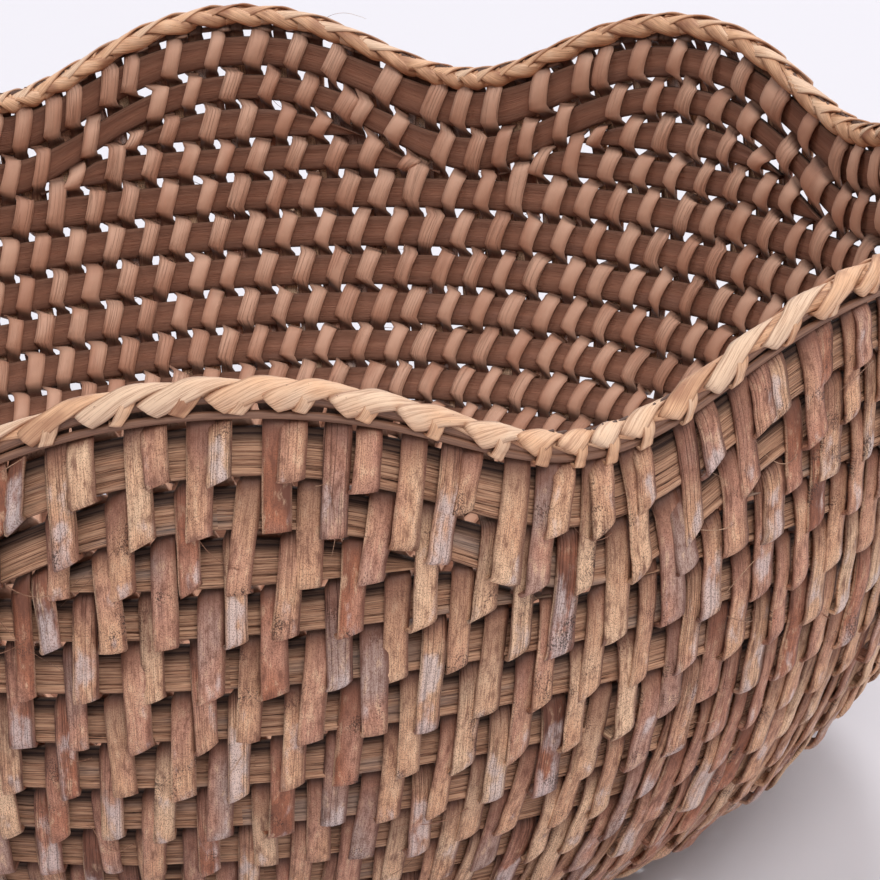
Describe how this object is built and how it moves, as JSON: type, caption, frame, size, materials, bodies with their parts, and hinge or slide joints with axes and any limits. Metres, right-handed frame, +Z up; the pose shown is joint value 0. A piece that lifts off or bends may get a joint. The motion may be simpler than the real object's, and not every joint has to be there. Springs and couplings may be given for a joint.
{
  "type": "bread basket",
  "caption": "Round bowl-shaped bread basket woven from rattan, with a gently lobed rim bound by a plaited lashing.",
  "frame": {"origin": "on the table under the middle of the bowl", "axes": "+Z up through the mouth of the bowl, and one lobe of the rim faces -Y"},
  "size_m": [0.33, 0.33, 0.1433],
  "materials": {
    "core": "matt dry core cane with fine ridges",
    "strip": "matt split rattan, tan with grey wear",
    "braid": "smooth pale split cane",
    "rod": "round brown cane"
  },
  "bodies": {
    "root": {"floor": "core", "rim_row_1": "core", "rim_row_2": "core", "lobe_rows_1": "core", "lobe_rows_2": "core", "lobe_rows_3": "core", "lobe_rows_4": "core", "lobe_rows_5": "core", "lobe_rows_6": "core", "lobe_rows_7": "core", "lobe_rows_8": "core", "wall_row_1": "core", "wall_row_2": "core", "wall_row_3": "core", "wall_row_4": "core", "wall_row_5": "core", "wall_row_6": "core", "wall_row_7": "core", "wall_row_8": "core", "wall_row_9": "core", "wall_row_10": "core", "wall_row_11": "core", "wall_row_12": "core", "strip_1": "strip", "strip_2": "strip", "strip_3": "strip", "strip_4": "strip", "strip_5": "strip", "strip_6": "strip", "strip_7": "strip", "strip_8": "strip", "strip_9": "strip", "strip_10": "strip", "strip_11": "strip", "strip_12": "strip", "strip_13": "strip", "strip_14": "strip", "strip_15": "strip", "strip_16": "strip", "strip_17": "strip", "strip_18": "strip", "strip_19": "strip", "strip_20": "strip", "strip_21": "strip", "strip_22": "strip", "strip_23": "strip", "strip_24": "strip", "strip_25": "strip", "strip_26": "strip", "strip_27": "strip", "strip_28": "strip", "strip_29": "strip", "strip_30": "strip", "rim_rod": "rod", "rim_braid": "braid"}
  },
  "joints": []
}
